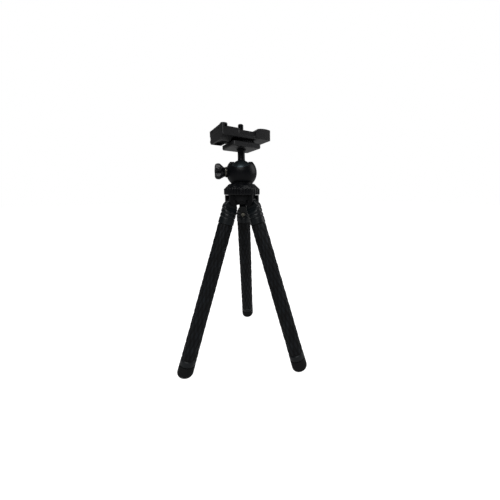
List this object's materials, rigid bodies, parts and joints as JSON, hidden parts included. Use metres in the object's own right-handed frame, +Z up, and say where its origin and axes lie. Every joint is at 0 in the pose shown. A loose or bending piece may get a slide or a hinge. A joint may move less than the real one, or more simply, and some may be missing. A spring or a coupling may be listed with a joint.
{
  "type": "camera tripod",
  "caption": "Small camera tripod with bendable rubber-covered legs on a locking hub, a ball head with a side knob, and a quick-release clamp holding a plate with a camera screw.",
  "frame": {"origin": "point on the hub's vertical axis at floor level, midway between the feet", "axes": "+Z up; +X along the clamp from its fixed end to its sliding jaw; one leg points to -X, the others to 60 degrees either side of +X"},
  "size_m": [0.1272, 0.1442, 0.2773],
  "materials": {
    "cap_plastic": "satin moulded nylon",
    "sleeve_rubber": "textured rubber",
    "foot_rubber": "smooth rubber",
    "core_metal": "bare bendable core",
    "hub_plastic": "satin moulded nylon",
    "ring_plastic": "satin moulded nylon",
    "bright_steel": "nickel plated",
    "dark_steel": "blackened steel",
    "ball_metal": "black anodised, satin",
    "head_metal": "black anodised, satin",
    "clamp_metal": "black powder coat",
    "clamp_foot_metal": "black powder coat",
    "pad_rubber": "grooved rubber",
    "liner_plastic": "natural acetal"
  },
  "bodies": {
    "hub": {"hub_body": "hub_plastic", "leg_pins": "dark_steel", "centre_bolt": "dark_steel", "bolt_washer": "bright_steel", "ball_housing": "head_metal"},
    "ring": {"lock_ring": "ring_plastic"},
    "disc": {"pressure_disc": "dark_steel"},
    "left_leg": {"left_leg_cap": "cap_plastic", "left_leg_cap_screw": "bright_steel", "left_leg_core_upper": "core_metal", "left_leg_sleeve_upper": "sleeve_rubber", "left_leg_flex": "sleeve_rubber"},
    "left_leg_end": {"left_leg_core_lower": "core_metal", "left_leg_sleeve_lower": "sleeve_rubber", "left_leg_ferrule": "cap_plastic", "left_leg_foot": "foot_rubber"},
    "right_leg": {"right_leg_cap": "cap_plastic", "right_leg_cap_screw": "bright_steel", "right_leg_core_upper": "core_metal", "right_leg_sleeve_upper": "sleeve_rubber", "right_leg_flex": "sleeve_rubber"},
    "right_leg_end": {"right_leg_core_lower": "core_metal", "right_leg_sleeve_lower": "sleeve_rubber", "right_leg_ferrule": "cap_plastic", "right_leg_foot": "foot_rubber"},
    "back_leg": {"back_leg_cap": "cap_plastic", "back_leg_cap_screw": "bright_steel", "back_leg_core_upper": "core_metal", "back_leg_sleeve_upper": "sleeve_rubber", "back_leg_flex": "sleeve_rubber"},
    "back_leg_end": {"back_leg_core_lower": "core_metal", "back_leg_sleeve_lower": "sleeve_rubber", "back_leg_ferrule": "cap_plastic", "back_leg_foot": "foot_rubber"},
    "liner": {"ball_seat": "liner_plastic"},
    "ball": {"ball_stem": "ball_metal"},
    "clamp": {"clamp_foot": "clamp_foot_metal", "clamp_body": "clamp_metal", "clamp_bolt": "dark_steel", "post_screw": "dark_steel", "end_cap": "clamp_metal", "end_screws": "dark_steel", "camera_plate": "clamp_metal", "plate_pad": "pad_rubber"},
    "wheel": {"clamp_wheel": "head_metal", "cam_pin": "dark_steel"},
    "jaw": {"sliding_jaw": "clamp_metal"},
    "camera_screw": {"camera_screw": "dark_steel", "screw_clip": "dark_steel"},
    "knob": {"lock_knob": "ring_plastic", "lock_screw": "dark_steel", "knob_washer": "bright_steel"},
    "plunger": {"lock_plunger": "liner_plastic"}
  },
  "joints": [
    {"name": "left_leg_hinge", "type": "hinge", "parent": "hub", "child": "left_leg", "pos_m": [-0.013, 0, 0.19129], "axis": [0, 1, 0], "range_deg": [-17.5, 50]},
    {"name": "left_leg_bend", "type": "hinge", "parent": "left_leg", "child": "left_leg_end", "pos_m": [-0.04545, 0, 0.09143], "axis": [0, -1, 0], "range_deg": [-90, 60], "deforming": ["left_leg_flex"]},
    {"name": "right_leg_hinge", "type": "hinge", "parent": "hub", "child": "right_leg", "pos_m": [0.0065, -0.01126, 0.19129], "axis": [-0.866, -0.5, 0], "range_deg": [-17.5, 50]},
    {"name": "right_leg_bend", "type": "hinge", "parent": "right_leg", "child": "right_leg_end", "pos_m": [0.02272, -0.03936, 0.09143], "axis": [0.866, 0.5, 0], "range_deg": [-90, 60], "deforming": ["right_leg_flex"]},
    {"name": "back_leg_hinge", "type": "hinge", "parent": "hub", "child": "back_leg", "pos_m": [0.0065, 0.01126, 0.19129], "axis": [0.866, -0.5, 0], "range_deg": [-17.5, 50]},
    {"name": "back_leg_bend", "type": "hinge", "parent": "back_leg", "child": "back_leg_end", "pos_m": [0.02272, 0.03936, 0.09143], "axis": [-0.866, 0.5, 0], "range_deg": [-90, 60], "deforming": ["back_leg_flex"]},
    {"name": "ring_turn", "type": "hinge", "parent": "hub", "child": "ring", "pos_m": [0, 0, 0.20129], "axis": [0, 0, 1], "range_deg": [0, 90]},
    {"name": "disc_lift", "type": "slide", "parent": "hub", "child": "disc", "axis": [0, 0, 1], "range_m": [0, 0.0006]},
    {"name": "head_swing", "type": "hinge", "parent": "hub", "child": "liner", "pos_m": [0, 0, 0.22409], "axis": [0, 0, 1], "range_deg": [-25, 25]},
    {"name": "head_tilt", "type": "hinge", "parent": "liner", "child": "ball", "pos_m": [0, 0, 0.22409], "axis": [0.829, -0.5592, 0], "range_deg": [-14, 45]},
    {"name": "head_turn", "type": "hinge", "parent": "ball", "child": "clamp", "pos_m": [0, 0, 0.22409], "axis": [0, 0, 1], "continuous": true},
    {"name": "wheel_turn", "type": "hinge", "parent": "clamp", "child": "wheel", "pos_m": [0, 0, 0.25519], "axis": [0, 0, 1], "range_deg": [0, 40]},
    {"name": "jaw_slide", "type": "slide", "parent": "clamp", "child": "jaw", "axis": [1, 0, 0], "range_m": [0, 0.00499]},
    {"name": "camera_screw_turn", "type": "hinge", "parent": "clamp", "child": "camera_screw", "pos_m": [0, 0, 0.26829], "axis": [0, 0, 1], "continuous": true},
    {"name": "knob_turn", "type": "hinge", "parent": "hub", "child": "knob", "pos_m": [0, 0, 0.22409], "axis": [-0.9659, 0.2588, 0], "range_deg": [0, 180]},
    {"name": "plunger_slide", "type": "slide", "parent": "hub", "child": "plunger", "axis": [-0.9659, 0.2588, 0], "range_m": [0, 0.0004]}
  ],
  "couplings": [
    {"joint": "ring_turn", "follows": "disc_lift", "rad_per_m": 2615.4},
    {"joint": "wheel_turn", "follows": "jaw_slide", "rad_per_m": 139.81},
    {"joint": "knob_turn", "follows": "plunger_slide", "rad_per_m": 7846.1}
  ]
}
